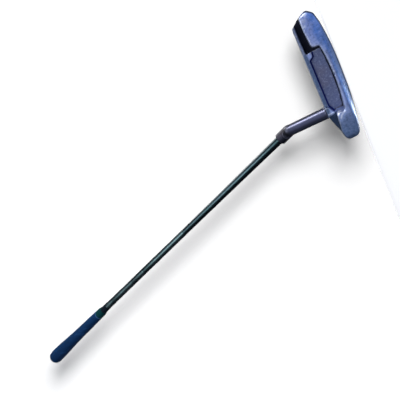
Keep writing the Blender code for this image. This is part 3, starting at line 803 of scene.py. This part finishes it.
# The paper behind the club leans back a little, so that the club's soft shadow on it stays
# about as far from the club all along the shaft.
shaft_plane = MOUTH_Y - camera.location.y
behind = Vector((0, 1, 0)) / shaft_plane - PAPER_RECEDE * ahead
paper_centre = camera.location + behind / behind.length_squared
paper_lamp_place = camera.location + up * LAMP_RISE
lamp_height = (paper_centre - paper_lamp_place).dot(behind.normalized())
paper = sheet("backdrop", paper_centre, -behind, backdrop_surface(paper_lamp_place, lamp_height))
floor = sheet("floor", (0, 0, FLOOR_Z), (0, 0, 1), plain_surface("floor_paper", FLOOR_GLOW, FLOOR_PAINT))


# Light

world = bpy.data.worlds.new("world")
world.use_nodes = True
world_tree = world.node_tree
background = world_tree.nodes["Background"]


def blend_sky(source, low, high, dark, light):
    """A colour that runs from dark to light as a number goes from low to high."""
    share, colours = world_tree.nodes.new("ShaderNodeMapRange"), world_tree.nodes.new("ShaderNodeMix")
    share.interpolation_type = "SMOOTHSTEP"
    colours.data_type = "RGBA"
    share.inputs["From Min"].default_value, share.inputs["From Max"].default_value = low, high
    world_tree.links.new(source, share.inputs["Value"])
    world_tree.links.new(share.outputs["Result"], colours.inputs["Factor"])
    for socket, colour in ((6, dark), (7, light)):  # the colour sockets A and B
        if isinstance(colour, bpy.types.NodeSocket):
            world_tree.links.new(colour, colours.inputs[socket])
        else:
            colours.inputs[socket].default_value = (*colour, 1)
    return colours.outputs[2]


# Bluish light from the rear and from the toe's side, and little from the heel's side and the face's side.
# The camera sees a plain pale colour instead.
way, parts = world_tree.nodes.new("ShaderNodeTexCoord"), world_tree.nodes.new("ShaderNodeSeparateXYZ")
world_tree.links.new(way.outputs["Generated"], parts.inputs[0])
sky = blend_sky(parts.outputs["Z"], -0.4, 0.4, (0.2, 0.3, 0.58), (0.38, 0.4, 0.54))
sky = blend_sky(parts.outputs["X"], -0.65, 0.15, (0.05, 0.06, 0.085), sky)
sky = blend_sky(parts.outputs["Y"], -0.45, 0.3, sky, (0.03, 0.035, 0.045))
seen = world_tree.nodes.new("ShaderNodeLightPath")
sky = blend_sky(seen.outputs["Is Camera Ray"], 0, 1, sky, (0.93, 0.94, 0.96))
world_tree.links.new(sky, background.inputs["Color"])
background.inputs["Strength"].default_value = 1
bpy.context.scene.world = world


def group(name, *items):
    """A collection that limits what a lamp lights, or what throws shadows in its light."""
    found = bpy.data.collections.new(name)
    for item in items:
        found.objects.link(item)
    return found


club_group = group("lit_club", *club, floor)
blocker_group = group("shading_club", *club, floor)
paper_group = group("lit_paper", paper)
shadow_group = group("paper_shade", *club)
but_shaft_group = group("lit_but_shaft", head, neck, band, grip, *hidden, floor)
shaft_group = group("lit_shaft", shaft)
grip_group = group("lit_grip", grip)
neck_group = group("lit_neck", neck)
head_group = group("lit_head", head)
glint_group = group("glinting", head)


def softbox(name, place, target, size, power, colour=(1, 1, 1), lit=club_group, shaded_by=blocker_group):
    data = bpy.data.lights.new(name, "AREA")
    data.shape = "RECTANGLE"
    data.size, data.size_y = size
    data.energy = power
    data.color = colour
    item = link(bpy.data.objects.new(name, data))
    place = Vector(place)
    turn = (Vector(target) - place).to_track_quat("-Z", "Y").to_matrix().to_4x4()
    item.matrix_world = Matrix.Translation(place) @ turn
    item.visible_camera = False
    item.light_linking.receiver_collection = lit
    item.light_linking.blocker_collection = shaded_by


def paper_lamp(name, radius, energy):
    """Lights only the backdrop, with no falloff, so that the club's shadow on it is even."""
    data = bpy.data.lights.new(name, "POINT")
    data.shadow_soft_size = radius
    data.energy = energy
    data.use_nodes = True
    falloff = data.node_tree.nodes.new("ShaderNodeLightFalloff")
    falloff.inputs["Strength"].default_value = 10
    data.node_tree.links.new(falloff.outputs["Constant"], data.node_tree.nodes["Emission"].inputs["Strength"])
    item = link(bpy.data.objects.new(name, data))
    item.location = paper_lamp_place
    item.visible_camera = False
    item.light_linking.receiver_collection = paper_group
    item.light_linking.blocker_collection = shadow_group


# The strips show as highlights: toe_strip on all but the shaft, the shaft's own three from its foot up, and neck_strip
softbox("toe_strip", (0.62, -0.24, 0.12), (-0.03, 0, 0.05), (0.07, 0.7), 3.4, lit=but_shaft_group)
shaft_strips = (((0.22, -0.78, 0.68), 5), ((-0.03, -0.6, 1.06), 1.2), ((-0.28, -0.43, 1.44), 0.5))
for number, (place, power) in enumerate(shaft_strips):
    softbox(f"shaft_strip_{number}", place, (-0.15, 0.02, 0.38), (0.26, 0.45), power, (0.8, 1, 1), lit=shaft_group)
softbox("sky", (0.25, -0.55, 0.75), (-0.1, 0.01, 0.35), (0.7, 0.5), 4, (0.8, 0.88, 1))
softbox("back_fill", (-1.1, 0.3, 0.8), (-0.1, 0.0, 0.3), (0.8, 0.8), 1.6, lit=grip_group)
softbox("front", (0.75, 0.75, 0.95), (-0.1, 0.0, 0.3), (0.9, 0.9), 16)
softbox("neck_strip", (0.6, -0.34, 0.2), (-0.04, 0.01, 0.06), (0.12, 0.5), 1.5, (0.9, 0.92, 1), lit=neck_group)
softbox("head_card", (-0.24, -0.76, 0.16), (0, 0, 0.01), (0.35, 0.3), 0.3, (0.85, 0.92, 1), lit=head_group)
# From under the floor, which therefore doesn't block it: the bright line along the sole's edge
under_sole, sole_edge = (-0.2, -0.07, -0.29), (-0.038, -0.01, 0.002)
softbox("sole_glint", under_sole, sole_edge, (0.03, 0.12), 0.34, lit=glint_group, shaded_by=shadow_group)
paper_lamp("paper_light_narrow", 75 * MM, 76)
paper_lamp("paper_light_wide", 165 * MM, 54)
